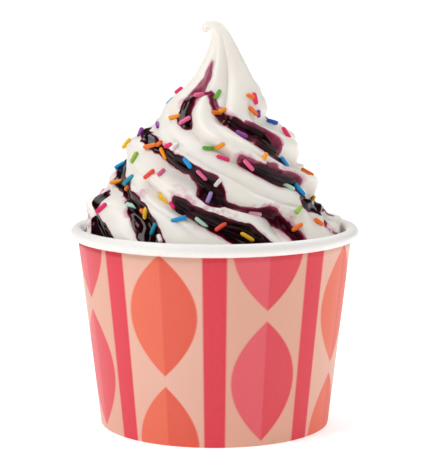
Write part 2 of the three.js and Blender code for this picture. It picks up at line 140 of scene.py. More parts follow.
# Creases along ridges: (ridge, place across it, depth, top height, bottom height)
CREASES = (
    (3, 0.46, 0.34, 104, 66),
    (1, 0.55, 0.16, 90, 66),
    (4, 0.5, 0.22, 100, 66),
    (5, 0.5, 0.4, 97, 66),
    (6, 0.46, 0.3, 106, 66),
    (8, 0.55, 0.26, 100, 66),
    (10, 0.45, 0.3, 102, 66),
)
CREASE_HALF_WIDTH = 0.17
CREASE_POWER = 1.5
CREASE_FADE = 4

# The crest of the spire ends in a notch, below which a ridge begins with a round nose. The notch
# runs through (place in the swirl, height, half width).
NOTCH = ((4.2, 117.2, 1.6), (4.42, 116.4, 1.8), (4.62, 114, 1.9), (4.76, 111, 2), (4.84, 108.4, 2.2))
NOTCH_DEPTH = 1.9
NOTCH_EDGE = (-1.2, 1.8)  # how far inside the notch it begins and is fully deep

# Swellings and dents: (angle, height, half angle, half height, how far out)
LUMPS = (
    (-4, 108, 50, 2.2, -1.9),
    (2, 98.2, 45, 4.6, 2.1),
    (-4, 92.4, 45, 2.1, -2),
    (-8, 85.4, 45, 4.4, 2.3),
    (4, 79, 40, 2.6, -1.4),
    (4, 70, 40, 3.2, 3),
    (185, 110, 45, 3.5, 0.8),
    (185, 104.6, 45, 2.6, -1.4),
    (182, 97.4, 45, 3.6, 1.8),
    (188, 83.4, 45, 3, -1.4),
    (186, 77.2, 40, 4, 2.8),
    (70, 90, 40, 4, 1.6),
    (120, 98, 40, 4, 1.4),
)

# Sauce in strokes: (thickness, softness of its edge, nodes). A node is (place in the swirl, counted
# in grooves and fractions of a ridge, height, half width).
CRISP, SOFT, SHEET, POOL = 0.55, 1.1, 1.3, 2
SAUCE = (
    # down the left of the spire, over the nose and down its right
    (0.15, SOFT, ((3.88, 126.8, 0.3), (3.88, 125.3, 0.6), (3.85, 122.4, 1.2), (3.82, 118.7, 2.1),
                  (3.82, 116.5, 2.4))),
    (0.5, SOFT, ((3.82, 117.2, 1.8), (3.82, 115.5, 2.2), (3.83, 114, 2.2))),
    (1, CRISP, ((3.84, 114.6, 1.9), (3.86, 111.5, 2.3), (3.86, 108.6, 2.2), (3.92, 106.6, 1.9))),
    (0.4, SOFT, ((4, 117.4, 0.7), (4.3, 117.3, 0.8), (4.5, 115.8, 1), (4.63, 113.4, 1.2),
                 (4.76, 111.3, 1.4))),
    (1, SOFT, ((4.78, 111, 1.6), (4.88, 109.3, 1.7), (5.03, 107.6, 1.9), (5.12, 106, 2.1),
               (5.18, 104.6, 2.3), (5.24, 103, 2.4), (5.17, 100.1, 2.5), (5.07, 97.6, 2.4),
               (4.91, 94.8, 2.1), (4.78, 91.6, 1.6))),
    (0.34, SHEET, ((5.4, 106.5, 1), (5.54, 105.4, 1.8), (5.62, 103.6, 2.8), (5.46, 101.3, 3.1),
                   (5.26, 98.4, 2.6), (5.1, 95.8, 1.7))),
    # the groove below it, with the pool where it ends and a drip from that
    (1, SOFT, ((4.05, 94.8, 1.4), (4.05, 93, 2), (4.06, 91, 2.4), (4.12, 89.4, 2.3),
               (4.09, 87.2, 2.2), (4, 83.8, 2.1), (3.86, 81.1, 1.8), (3.75, 79.4, 1.8))),
    (0.34, SHEET, ((4.12, 96, 1.3), (4.18, 95, 1.3), (4.21, 93.6, 1.1))),
    (0.34, SHEET, ((4.35, 93, 1.4), (4.42, 92, 1.5), (4.24, 90, 1.4), (4.26, 87.6, 1.6),
                   (4.28, 86.4, 1.8), (4.1, 84, 1.4))),
    (3.6, POOL, ((3.6, 79, 2), (3.6, 77.2, 3), (3.68, 75.2, 3.4), (3.95, 75.2, 3.2),
                 (4.2, 75.2, 2.7), (4.4, 74.8, 1.9))),
    (0.3, CRISP, ((3.95, 74.2, 0.5), (4.29, 72.3, 0.6), (4.24, 71, 0.7), (4.2, 70.2, 0.6))),
    (0.3, CRISP, ((3.72, 71.9, 0.6), (3.65, 71.3, 0.7), (3.54, 70.2, 0.6), (3.56, 69.6, 0.5))),
    (0.6, CRISP, ((3.56, 69, 0.4), (3.6, 67.8, 0.4), (3.73, 66.5, 0.4))),
    # the long one across the front, and the crease that leads it on
    (1, CRISP, ((1.9, 103.4, 1.6), (2.4, 102.8, 1.9), (2.8, 101.7, 2.8), (2.94, 99.8, 2.5),
                (3.04, 98.4, 1.8), (3.1, 96.4, 1.7), (3.14, 94.8, 1.7), (3.15, 93, 1.9),
                (3.15, 91.6, 2.1))),
    (1, SOFT, ((3.15, 93, 1.9), (3.12, 91, 2.9), (3.07, 88.5, 3.9), (3, 86.1, 4.4), (2.96, 84.2, 4),
               (2.92, 82.9, 3.1))),
    (0.7, CRISP, ((2.98, 83, 1), (3.05, 82.2, 0.8), (3.06, 81.1, 0.7), (3.06, 80.1, 0.8),
                  (3.06, 79.3, 1.1))),
    (0.75, SOFT, ((3.07, 79.2, 1.3), (3.03, 77.8, 2), (3.06, 76, 2.3), (3.1, 73.6, 2.7),
                  (3.13, 70.6, 3.1), (3.13, 68, 3.4), (3.12, 64, 4))),
    (1, CRISP, ((2.19, 82.9, 1.7), (2.13, 81.1, 1.8), (2.12, 79.5, 1.9), (2.1, 77.5, 2.3),
                (2.09, 75.5, 2.9), (2.06, 73.4, 3.9), (2.02, 70.8, 5.1), (2, 64, 6.3))),
    # the left
    (1.3, CRISP, ((0.78, 91.8, 1.6), (0.88, 90.4, 2.8), (0.94, 88.6, 3.5), (1.02, 86.6, 3),
                  (1.16, 84.8, 2.4))),
    (1, CRISP, ((1.16, 84.8, 2.4), (1.1, 83.2, 2.4), (1.07, 81.6, 2.7), (1.02, 79.8, 3.4),
                (0.95, 77.3, 4.2), (0.94, 74.8, 4.3), (0.96, 72.5, 4.5), (1.04, 70, 4.9),
                (1.1, 64, 5.6))),
    (1, CRISP, ((0.4, 81.4, 2.3), (0.32, 79, 4), (0.2, 76.4, 4.2), (-0.06, 73.9, 4.1),
                (-0.12, 71.6, 4.3), (-0.04, 68.4, 5), (0, 64, 5.6))),
    # round the back
    (1, CRISP, ((5, 84, 1.4), (5.05, 79, 2.8), (5, 72, 3.2), (5.05, 64, 3.9))),
    (1, CRISP, ((6.08, 91, 1.1), (6.05, 87, 2.6), (6, 81, 2.5), (6.05, 74, 3.7), (6, 64, 4.4))),
    (0.5, SHEET, ((6.35, 86, 1.4), (6.4, 82, 2.5), (6.3, 78, 1.8))),
    (1, CRISP, ((7.1, 103, 1.1), (7.05, 98, 2.5), (6.95, 90, 3), (7.05, 80, 2.8), (7, 70, 1.1))),
    (1, CRISP, ((7.9, 112, 0.9), (8, 106, 2.1), (8.05, 99, 2.8), (7.95, 92, 3.2), (8, 84, 3.7),
                (8.05, 78, 2.1))),
    (0.5, SHEET, ((8.3, 101, 1.6), (8.35, 95, 2.8), (8.2, 89, 1.8))),
    (1, CRISP, ((9, 88, 1.6), (9.05, 83, 3), (9, 74, 3.7), (9.05, 64, 4.6))),
    (1, CRISP, ((10.05, 107, 1.1), (9.97, 101, 2.5), (10.05, 94, 2.5), (10, 86, 3.4),
                (10.05, 78, 3.9), (10, 70, 2.3))),
)
# Smears, where sauce only coloured the yogurt
SMEARS = (
    ((2.21, 84.4, 0.9), (2.32, 83.8, 1)),
    ((2.44, 83.3, 0.9), (2.38, 81.3, 1.1)),
    ((2.35, 81.1, 0.9), (2.3, 79.5, 1.3)),
    ((2.3, 79.5, 1.2), (2.4, 79, 0.8)),
    ((2.46, 80.6, 1), (2.47, 80, 1)),
    ((2.44, 79, 0.8), (2.5, 78, 0.8)),
    ((2.53, 87.2, 0.6), (2.56, 85.5, 0.6)),
    ((1.71, 84.9, 1), (1.5, 82.7, 1.2)),
    ((1.3, 83.5, 1.2), (1.41, 83.3, 1)),
    ((1.71, 74.6, 0.6), (1.82, 75, 0.6)),
    ((2.59, 103.9, 0.9), (3.03, 102, 1.1)),
    ((3.2, 99.6, 1), (3.3, 99.2, 1)),
    ((3.29, 98.2, 0.7), (3.29, 96.9, 0.8)),
    ((3.18, 77.4, 1.1), (3.2, 76.4, 1.1)),
    ((4.12, 96.4, 1.2), (4.05, 95.3, 1.3)),
    ((4.5, 90.4, 1), (4.46, 88.6, 1)),
    ((-0.78, 74.5, 1.6), (-0.58, 71.1, 1.6)),
    ((6.5, 84, 1.4), (6.3, 80, 1.2)),
    ((7.4, 92, 1.2), (7.2, 87, 1.4)),
    ((9.4, 84, 1.6), (9.3, 80, 1.2)),
    ((10.4, 92, 1.2), (10.3, 87, 1.6)),
)
SAUCE_DEPTH = 1.1
JOIN_SOFTNESS = 0.12  # rounds the joint where strokes meet
FULL_ROUGHNESS = 2  # half width from which a stroke's edge is fully uneven
POOL_FLOOR = 0.3  # the yogurt under the sauce is this share of a ridge's height or lower
POOL_EDGE = (-0.6, 2.6)  # how far inside the sauce that begins and is complete
OUTSIDE = -9.0  # stands for a point far outside every stroke
SKIRT_WIDTH = 0.45  # how far the mesh of the sauce runs on past its edge
SAUCE_SINK = 0.6  # how deep that hidden skirt may run into the yogurt
SINK_SLOPE = 0.8  # and how steeply it does
LEAST_OPENING = 0.02  # keeps the sauce off the yogurt where the grooves close at the rim
RIPPLE_WAVES = 7
# Uneven surfaces: (wavelength, seed, amount)
EDGE_RIPPLES = ((13, 5, 0.3), (5, 6, 0.22), (2.6, 8, 0.08))
THICKNESS_RIPPLE = (9, 9, 0.2)
SOFT_RIPPLES = ((17, 3, 0.3), (7, 4, 0.1))
SOFT_RADII = (2, 14)  # of the mound, between which its soft ripples grow to their full height

ROWS = 250
COLUMNS_PER_RIDGE = 34
HIDDEN_ROWS = 5  # of the yogurt inside the cup

# ---- Small maths ----


def ease(value, low, high):
    """Smooth step from 0 at low to 1 at high."""
    u = np.clip((value - low) / (high - low), 0, 1)
    return u * u * (3 - 2 * u)


def mix(a, b, share):
    return a + (b - a) * share


def ripple(points, wavelength, seed):
    """A smooth field between about -1 and 1, from sine waves in seeded directions."""
    draw = random.Random(seed)
    total = np.zeros(points.shape[:-1])
    for _ in range(RIPPLE_WAVES):
        way = Vector((draw.gauss(0, 1), draw.gauss(0, 1), draw.gauss(0, 1))).normalized()
        length = wavelength * draw.uniform(0.7, 1.4)
        total += np.sin(points @ np.array(way) * math.tau / length + draw.uniform(0, math.tau))
    return total / math.sqrt(RIPPLE_WAVES)


def ripples(points, *waves):
    """The sum of ripples, each given as (wavelength, seed, amount)."""
    return sum(ripple(points, wavelength, seed) * amount for wavelength, seed, amount in waves)


def smooth_curve(stations, t):
    """An even Catmull-Rom curve through the stations, for t from 0 to 1."""
    knots = np.array(stations, float)
    count = len(knots) - 1
    place = np.clip(t, 0, 1) * count
    i = np.minimum(np.floor(place).astype(int), count - 1)
    u = (place - i)[..., None]
    ends = np.vstack([2 * knots[0] - knots[1], knots, 2 * knots[-1] - knots[-2]])
    a, b, c, d = ends[i], ends[i + 1], ends[i + 2], ends[i + 3]
    cubic = (3 * b - a - 3 * c + d) * u**3
    return 0.5 * (2 * b + (c - a) * u + (2 * a - 5 * b + 4 * c - d) * u**2 + cubic)


# ---- The mound ----


def eased_ramp(t):
    """From 0 to 1 at an even pace, with soft ends."""
    t = np.clip(t, 0, 1)
    e = SWING_EASE
    start = t * t / (2 * e * (1 - e))
    end = 1 - (1 - t) ** 2 / (2 * e * (1 - e))
    return np.where(t < e, start, np.where(t > 1 - e, end, (t - e / 2) / (1 - e)))


def groove_angle(index, z):
    """The angle of a groove at a height. Between whole numbers it is a place on a ridge."""
    whole = math.floor(index)
    if whole != index:
        return mix(groove_angle(whole, z), groove_angle(whole + 1, z), index - whole)
    turns, groove = divmod(whole, len(GROOVES))
    peak, rim, start, stop = GROOVES[groove]
    angle = mix(peak, rim, eased_ramp((start - z) / (start - stop))) + 360 * turns
    if groove == BEND_GROOVE:
        off = (z - BEND_HEIGHT) / np.where(z > BEND_HEIGHT, BEND_ABOVE, BEND_BELOW)
        angle = angle + BEND_DEGREES * np.maximum(0, 1 - off * off) ** 2
    return angle


def lift(angle, z):
    """How far the swirl is raised at this angle."""
    share = 0
    for turned in (angle, angle + 360):
        share = share + ease(turned, *LIFT_RISE) - ease(turned, *LIFT_FALL)
    return LIFT_SHARE * (z - FILL_LINE_Z) * share * (1 - ease(z, *LIFT_FADE))


UPRIGHT_T = np.linspace(0, CURL_START, UPRIGHT_SAMPLES)
UPRIGHT_Z = smooth_curve(MOUND, UPRIGHT_T)[:, 1]


def raised(t, rise):
    """Where t comes to lie when it is raised by so many millimetres."""
    z = smooth_curve(MOUND, t)[..., 1]
    moved = np.interp(z + rise, UPRIGHT_Z, UPRIGHT_T)
    return np.where(rise == 0, t, moved)


class Sections:
    """The mound's level sections at t, from 0 at the fill line to 1 at the end of the curl."""

    def __init__(self, t):
        here = smooth_curve(MOUND, t)
        before = smooth_curve(MOUND, np.maximum(0, t - SLOPE_STEP))
        after = smooth_curve(MOUND, np.minimum(1, t + SLOPE_STEP))
        self.x, self.z, self.radius = here[..., 0], here[..., 1], here[..., 2]
        run_x, run_z = after[..., 0] - before[..., 0], after[..., 1] - before[..., 1]
        square = np.where(t > CURL_START, 1, ease(self.z, UPRIGHT_BELOW, CURL_FROM))
        self.tilt = square * np.arctan2(-run_x, run_z)
        self.rise = np.arctan2(before[..., 2] - after[..., 2], np.hypot(run_x, run_z))
        self.opening = ease(self.z, GROOVE_FROM_Z, GROOVE_FULL_Z)
        closing = np.minimum(1, self.radius / SMOOTH_RADIUS)
        share = mix(GROOVE_SHARE, SPIRE_SHARE, ease(self.z, *SPIRE_HEIGHTS))
        self.groove_depth = share * self.radius * self.opening * closing

    def points(self, angle, out):
        """Points at an angle, moved out by a distance square to the mound's outline."""
        reach = self.radius + out * np.cos(self.rise)
        up = out * np.sin(self.rise)
        across = reach * np.cos(np.radians(angle))
        return np.stack(
            [
                self.x + across * np.cos(self.tilt) - up * np.sin(self.tilt),
                reach * np.sin(np.radians(angle)),
                self.z + across * np.sin(self.tilt) + up * np.cos(self.tilt),
            ],
            axis=-1,
        )


def crown_height(share, power):
    """The outline across a ridge: 0 at its grooves and 1 at its crown."""
    side = np.where(share < CROWN_AT, share / CROWN_AT - 1, (share - CROWN_AT) / (1 - CROWN_AT))
    return 1 - np.abs(side) ** power


def ridge_height(index, share, z):
    """Height of the yogurt over the bottom of its groove, from 0 to 1."""
    height = crown_height(share, mix(CROWN_POWER, SPIRE_POWER, ease(z, *SPIRE_HEIGHTS)))
    for first, last, apart, one in MERGES:
        if first <= index < last:
            low, high = groove_angle(first, z), groove_angle(last, z)
            angle = mix(groove_angle(index, z), groove_angle(index + 1, z), share)
            joined = crown_height((angle - low) / (high - low), MERGED_POWER)
            height = mix(height, joined, ease(z, apart, one))
    for ridge, at, depth, top, bottom in CREASES:
        if ridge == index:
            along = np.clip((top - z) / CREASE_FADE, 0, 1) * np.clip((z - bottom) / CREASE_FADE, 0, 1)
            across = np.maximum(0, 1 - np.abs(share - at) / CREASE_HALF_WIDTH)
            height = height - depth * along * across**CREASE_POWER
    return height


def lumps(angle, z):
    total = 0 * angle
    for at, height, half_angle, half_height, amount in LUMPS:
        across = ((angle - at + 180) % 360 - 180) / half_angle
        along = (z - height) / half_height
        total = total + amount * np.maximum(0, 1 - across**2) ** 2 * np.maximum(0, 1 - along**2) ** 2
    return total


def slope_length(t):
    """Length along the mound's outline from the fill line."""
    fine = np.linspace(0, 1, SLOPE_SAMPLES)
    line = smooth_curve(MOUND, fine)
    steps = np.hypot(np.diff(line[:, 1]), np.diff(line[:, 2]))
    return np.interp(t, fine, np.concatenate([[0], np.cumsum(steps)]))


def swirl_place(index, z):
    """The angle and slope length of a place in the swirl."""
    angle = groove_angle(index, z)
    t = raised(np.interp(z, UPRIGHT_Z, UPRIGHT_T), lift(angle, z))
    return angle, slope_length(t)


def stroke_reach(nodes, angle, length, radius):
    """How far inside the edge of a tapering stroke each point lies, and below 0 outside it."""
    placed = [(*swirl_place(index, z), half_width) for index, z, half_width in nodes]
    reach = np.full(angle.shape, OUTSIDE)
    for (from_angle, from_length, from_width), (to_angle, to_length, to_width) in zip(placed, placed[1:]):
        start_x = np.radians((from_angle - angle + 180) % 360 - 180) * radius
        start_y = from_length - length
        run_x, run_y = np.radians(to_angle - from_angle) * radius, to_length - from_length
        share = np.clip(-(start_x * run_x + start_y * run_y) / (run_x**2 + run_y**2), 0, 1)
        away = np.hypot(start_x + share * run_x, start_y + share * run_y)
        reach = np.maximum(reach, mix(from_width, to_width, share) - away)
    return reach


def ridge_grid(level):
    """The angle and the ridge height of each point, in rows up the mound."""
    share = np.arange(COLUMNS_PER_RIDGE) / COLUMNS_PER_RIDGE
    angles, heights = [], []
    for index in range(len(GROOVES)):
        low, high = groove_angle(index, level.z), groove_angle(index + 1, level.z)
        angles.append(mix(low, high, share))
        heights.append(ridge_height(index, share + 0 * level.z, level.z))
    return np.hstack(angles), np.hstack(heights)


def sauce_layer(angle, length, radius, smooth):
    """How far inside the edge of the sauce each point lies, and the sauce's thickness."""
    reach = np.full(angle.shape, OUTSIDE)
    joined = 0 * angle
    rough = ripples(smooth, *EDGE_RIPPLES)
    uneven = 1 + ripples(smooth, THICKNESS_RIPPLE)
    for amount, softness, nodes in SAUCE:
        widest = max(half_width for _, _, half_width in nodes)
        wander = rough * min(1, widest / FULL_ROUGHNESS)
        inside = stroke_reach(nodes, angle, length, radius) + wander
        rounded = amount * uneven * SAUCE_DEPTH * (1 - np.exp(-np.maximum(inside, 0) / softness))
        joined = joined + np.where(inside > 0, np.exp(rounded / JOIN_SOFTNESS) - 1, 0)
        reach = np.maximum(reach, inside)
    thickness = np.where(reach > 0, JOIN_SOFTNESS * np.log(1 + joined), SINK_SLOPE * reach)
    return reach, thickness


def smear_layer(angle, length, radius):
    """How far inside the edge of a smear each point lies."""
    smear = np.full(angle.shape, OUTSIDE)
    for nodes in SMEARS:
        smear = np.maximum(smear, stroke_reach(nodes, angle, length, radius))
    return smear


def mound_grid():
    """Rows of points on the yogurt and on the sauce, how far inside the edge of the sauce they
    lie, the sauce's thickness, and how far inside a smear they lie."""
    t = np.linspace(0, 1, ROWS)[:, None]
    level = Sections(t)
    angle, height = ridge_grid(level)
    at = raised(np.broadcast_to(t, angle.shape), lift(angle, level.z))
    sections = Sections(at)
    length = slope_length(at)
    smooth = sections.points(angle, 0 * angle)
    reach, thickness = sauce_layer(angle, length, sections.radius, smooth)

    height = height - np.maximum(0, height - POOL_FLOOR) * ease(reach, *POOL_EDGE)
    notch = ease(stroke_reach(NOTCH, angle, length, sections.radius), *NOTCH_EDGE)
    soft = ripples(smooth, *SOFT_RIPPLES)
    out = sections.groove_depth * (height - 1) - NOTCH_DEPTH * notch
    out = out + soft * ease(sections.radius, *SOFT_RADII) * sections.opening
    out = out + lumps(angle, sections.z)
    yogurt = sections.points(angle, out)
    cover = np.maximum(thickness, -SAUCE_SINK) * np.maximum(sections.opening, LEAST_OPENING)
    sauce = sections.points(angle, out + cover)
    return yogurt, sauce, reach, thickness, smear_layer(angle, length, sections.radius)


# ---- Mesh making ----


def new_piece(name, points, faces, materials, replaced=None):
    """A mesh piece from points in millimetres. It rides on the only body."""
    mesh = bpy.data.meshes.new(name)
    mesh.from_pydata((np.asarray(points) * MM).tolist(), [], faces)
    mesh.validate()
    mesh.polygons.foreach_set("use_smooth", [True] * len(mesh.polygons))
    for material in materials:
        mesh.materials.append(material)
    piece = bpy.data.objects.new(name, mesh)
    bpy.context.scene.collection.objects.link(piece)
    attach(piece, "root")
    if replaced:
        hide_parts(replaced)
    return piece


def set_values(mesh, name, values):
    layer = mesh.attributes.new(name, "FLOAT", "POINT")
    layer.data.foreach_set("value", np.asarray(values, np.float32).ravel())


def ring_faces(rows, columns, first=0):
    """Quads between neighbouring rows of points, where each row closes on itself."""
    row, column = np.meshgrid(np.arange(rows - 1), np.arange(columns), indexing="ij")
    after = (column + 1) % columns
    quads = [row * columns + column, row * columns + after]
    quads += [(row + 1) * columns + after, (row + 1) * columns + column]
    return (np.stack(quads, axis=-1).reshape(-1, 4) + first).tolist()


def ring(radius, turns, z):
    """Points round the middle of the cup, at angles in radians."""
    return np.stack([radius * np.cos(turns), radius * np.sin(turns), 0 * turns + z], -1)


def wall_radius(z):
    """The outside of the cup's wall."""
    return mix(FOOT_RADIUS, WALL_TOP_R, z / WALL_TOP_Z)


def make_yogurt(yogurt, reach, smear, material):
    floor_z = HEM_HEIGHT + 2 * CLEARANCE + PAPER
    columns = yogurt.shape[1]
    around = np.arctan2(yogurt[0, :, 1], yogurt[0, :, 0])
    sides = []
    for z in np.linspace(floor_z, FILL_LINE_Z, HIDDEN_ROWS + 1)[:-1]:
        sides.append(ring(wall_radius(z) - PAPER - CLEARANCE, around, z))
    rings = np.concatenate([np.array(sides), yogurt])
    points = np.vstack([rings.reshape(-1, 3), [(0, 0, floor_z), TIP]])
    faces = ring_faces(len(rings), columns)
    last = (len(rings) - 1) * columns
    floor_point, tip_point = len(points) - 2, len(points) - 1
    for i in range(columns):
        after = (i + 1) % columns
        faces.append((floor_point, after, i))
        faces.append((tip_point, last + i, last + after))
    piece = new_piece("soft_serve", points, faces, [material], "yogurt")
    hidden = np.full(len(sides) * columns, OUTSIDE)
    for name, values in (("stain", reach), ("smear", smear)):
        set_values(piece.data, name, np.concatenate([hidden, values.ravel(), [OUTSIDE] * 2]))
    return piece


def make_sauce(sauce, reach, thickness, material):
    rows, columns = reach.shape
    quads = np.array(ring_faces(rows, columns))
    quads = quads[reach.ravel()[quads].max(axis=1) > -SKIRT_WIDTH]
    used, renumbered = np.unique(quads, return_inverse=True)
    points = sauce.reshape(-1, 3)[used]
    piece = new_piece("sauce", points, renumbered.reshape(-1, 4).tolist(), [material])
    set_values(piece.data, "depth", thickness.ravel()[used])
    return piece


# ---- Materials ----


def linear(code):
    """A colour from its sRGB code, such as 'f4f2ee'."""
    values = [int(code[i : i + 2], 16) / 255 for i in (0, 2, 4)]
    return [v / 12.92 if v <= 0.04045 else ((v + 0.055) / 1.055) ** 2.4 for v in values] + [1.0]


class Nodes:
    """A material and short ways to add nodes to it."""

    def __init__(self, name, **settings):
        self.material = bpy.data.materials.new(name)
        self.material.use_nodes = True
        self.tree = self.material.node_tree
        self.shader = self.tree.nodes["Principled BSDF"]
        for key, value in settings.items():
            self.shader.inputs[key.replace("_", " ")].default_value = value

    def add(self, kind, *links, **settings):
        """Adds a node. links feed its inputs in order: a socket, a number, a colour or None."""
        node = self.tree.nodes.new("ShaderNode" + kind)
        for key, value in settings.items():
            setattr(node, key, value)
        for socket, link in zip(node.inputs, links):
            self.put(link, socket)
        return node

    def put(self, link, socket):
        if isinstance(link, bpy.types.NodeSocket):
            self.tree.links.new(link, socket)
        elif link is not None:
            socket.default_value = link

    def maths(self, operation, *links):
        return self.add("Math", *links, operation=operation).outputs[0]

    def value(self, name):
        return self.add("Attribute", attribute_name=name).outputs["Fac"]

    def noise(self, scale, detail=2.0, roughness=0.5):
        node = self.add("TexNoise")
        node.inputs["Scale"].default_value = scale
        node.inputs["Detail"].default_value = detail
        node.inputs["Roughness"].default_value = roughness
        self.put(self.add("TexCoord").outputs["Object"], node.inputs["Vector"])
        return node.outputs["Fac"]

    def ramp(self, value, *stops):
        """Colours from (position, colour) stops."""
        node = self.add("ValToRGB", value)
        marks = node.color_ramp.elements
        marks[0].position, marks[0].color = stops[0]
        marks[1].position, marks[1].color = stops[-1]
        for position, colour in stops[1:-1]:
            marks.new(position).color = colour
        return node.outputs["Color"]

    def span(self, value, low, high):
        """0 at low and 1 at high, held between them."""
        return self.add("MapRange", value, float(low), float(high), 0.0, 1.0).outputs[0]

    def blend(self, share, first, second):
        node = self.add("Mix", data_type="RGBA")
        self.put(share, node.inputs["Factor"])
        self.put(first, node.inputs[6])
        self.put(second, node.inputs[7])
        return node.outputs[2]

    def bump(self, height, strength, distance, after=None):
        node = self.add("Bump")
        node.inputs["Strength"].default_value = strength
        node.inputs["Distance"].default_value = distance
        self.put(height, node.inputs["Height"])
        self.put(after, node.inputs["Normal"])
        return node.outputs[0]

    def finish(self, **links):
        for key, link in links.items():
            self.put(link, self.shader.inputs[key.replace("_", " ")])
        return self.material


def yogurt_material():
    """Creamy white, stained dark under the sauce, and pink round it and in smears."""
    n = Nodes(
        "soft_serve",
        Roughness=0.38,
        Specular_IOR_Level=0.42,
        Subsurface_Weight=0.35,
        Subsurface_Scale=0.006,
        Subsurface_Radius=(1.0, 0.8, 0.62),
    )
    blotch = n.maths("SUBTRACT", n.noise(420, 3, 0.6), 0.5)
    edge = n.maths("ADD", n.value("stain"), n.maths("MULTIPLY", blotch, 0.9))
    spread = n.maths("ADD", 0.15, n.maths("MULTIPLY", n.span(n.noise(120, 2), 0.52, 0.72), 2.4))
    halo = n.span(n.maths("DIVIDE", edge, spread), -1, 0.1)
    cream = n.blend(n.noise(70, 2), linear("f1ece5"), linear("ece5db"))
    patches = n.span(n.noise(330, 3, 0.6), 0.4, 0.62)
    streaks = n.maths("MULTIPLY", patches, n.span(n.value("smear"), -0.9, 0.7))
    pink = n.maths("MAXIMUM", n.maths("MULTIPLY", halo, 0.7), n.maths("MULTIPLY", streaks, 0.65))
    tint = n.blend(pink, cream, linear("c45a86"))
    colour = n.blend(n.span(edge, 0, 0.6), tint, linear("5a0f33"))
    grain = n.bump(n.noise(900, 3, 0.6), 0.12, 0.0002)
    soft = n.bump(n.noise(160, 2), 0.25, 0.0005, grain)
    return n.finish(Base_Color=colour, Normal=soft)


def sauce_material():
    """Wet berry sauce, nearly black where it is thick and pink where it is thin."""
    n = Nodes("berry_sauce", Roughness=0.1, Specular_IOR_Level=0.2)
    uneven = n.maths("MULTIPLY", n.maths("SUBTRACT", n.noise(240, 3, 0.6), 0.5), 0.3)
    depth = n.maths("ADD", n.value("depth"), uneven)
    colour = n.ramp(
        n.span(depth, 0, SAUCE_DEPTH),
        (0.0, linear("a8566c")),
        (0.12, linear("8c3450")),
        (0.25, linear("68112a")),
        (0.42, linear("400617")),
        (0.85, linear("190107")),
    )
    wavy = n.bump(n.noise(150, 2, 0.5), 0.12, 0.0006)
    return n.finish(Base_Color=colour, Normal=wavy)


SPRINKLE_COLOURS = {
    "hot_pink": "f0266f",
    "pink": "f06a9a",
    "pale_pink": "f2b0c8",
    "orange": "f97718",
    "amber": "fb9d0c",
    "yellow": "fbc324",
    "red_orange": "ec4a2c",
    "lime": "9ac53a",
    "green": "5fac32",
    "mint": "b5dcc6",
    "teal": "1597ae",
    "blue": "0096d8",
    "deep_blue": "1f56bb",
    "purple": "8c3b9c",
    "lavender": "ab8fce",
    "white": "f3efea",
}
SPRINKLE_SHADE = 0.72


def sprinkle_material(name, code):
    """Coloured sugar. Some sprinkles are a little darker, by their tone."""
    n = Nodes(
        "sugar_" + name,
        Roughness=0.42,
        Specular_IOR_Level=0.4,
        Subsurface_Weight=0.12,
        Subsurface_Scale=0.0012,
    )
    base = linear(code)
    darker = [v * SPRINKLE_SHADE for v in base[:3]] + [1.0]
    share = n.maths("MULTIPLY", n.value("tone"), n.noise(500, 2))
    colour = n.blend(share, base, darker)
    return n.finish(Base_Color=colour, Normal=n.bump(n.noise(1600, 3, 0.6), 0.25, 0.0001))


# The cup's print: a plain design of stripes and leaves, in the colours and scale of the real print
PRINT_GROUNDS = ("e4ab94", "e8b4a0")
PRINT_STRIPE = "df3546"
PRINT_LEAVES = (("e65a64", "e0434f"), ("ea6b4e", "e35a42"))
LEAF_COLUMNS = 8
LEAF_ROWS = 1.55  # in the height of the cup
LEAF_HALF_WIDTH = 0.34  # as a share of the spacing of the columns
LEAF_HALF_HEIGHT = 0.46  # as a share of the spacing of the leaves
STRIPE_HALF_WIDTH = 0.11  # as a share of the spacing of the columns
PRINT_EDGE = 0.01
LEAF_EDGE = 3 * PRINT_EDGE


def printed_paper_material():
    """Columns of leaves with a stripe between them, on coated paper."""
    n = Nodes("printed_paper", Roughness=0.45, Specular_IOR_Level=0.3)
    place = n.add("SeparateXYZ", n.add("UVMap", uv_map="wrap").outputs[0])
    around = n.maths("MULTIPLY", place.outputs[0], float(LEAF_COLUMNS))
    odd = n.maths("MODULO", n.maths("FLOOR", around), 2.0)
    across = n.maths("SUBTRACT", n.maths("FRACT", around), 0.5)
    # Leaves of every other column stand half a step higher.
    up = n.maths("MULTIPLY", place.outputs[1], LEAF_ROWS)
    up = n.maths("FRACT", n.maths("ADD", up, n.maths("MULTIPLY", odd, 0.5)))
    high = n.maths("DIVIDE", n.maths("SUBTRACT", up, 0.5), LEAF_HALF_HEIGHT)
    wide = n.maths("DIVIDE", n.maths("ABSOLUTE", across), LEAF_HALF_WIDTH)
    inside = n.maths("SUBTRACT", n.maths("SUBTRACT", 1.0, n.maths("MULTIPLY", high, high)), wide)
    leaf = n.span(inside, -LEAF_EDGE, LEAF_EDGE)
    half = n.span(across, -PRINT_EDGE, PRINT_EDGE)
    beside = n.maths("SUBTRACT", 0.5 - STRIPE_HALF_WIDTH, n.maths("ABSOLUTE", across))
    stripe = n.span(beside, PRINT_EDGE, -PRINT_EDGE)
    first, second = [n.blend(half, linear(a), linear(b)) for a, b in PRINT_LEAVES]
    ground = n.blend(odd, *[linear(code) for code in PRINT_GROUNDS])
    ground = n.blend(stripe, ground, linear(PRINT_STRIPE))
    inks = n.blend(leaf, ground, n.blend(odd, first, second))
    fibres = n.noise(700, 4, 0.6)
    colour = n.blend(n.maths("MULTIPLY", fibres, 0.03), inks, linear("ffffff"))
    return n.finish(Base_Color=colour, Normal=n.bump(fibres, 0.12, 0.0001))


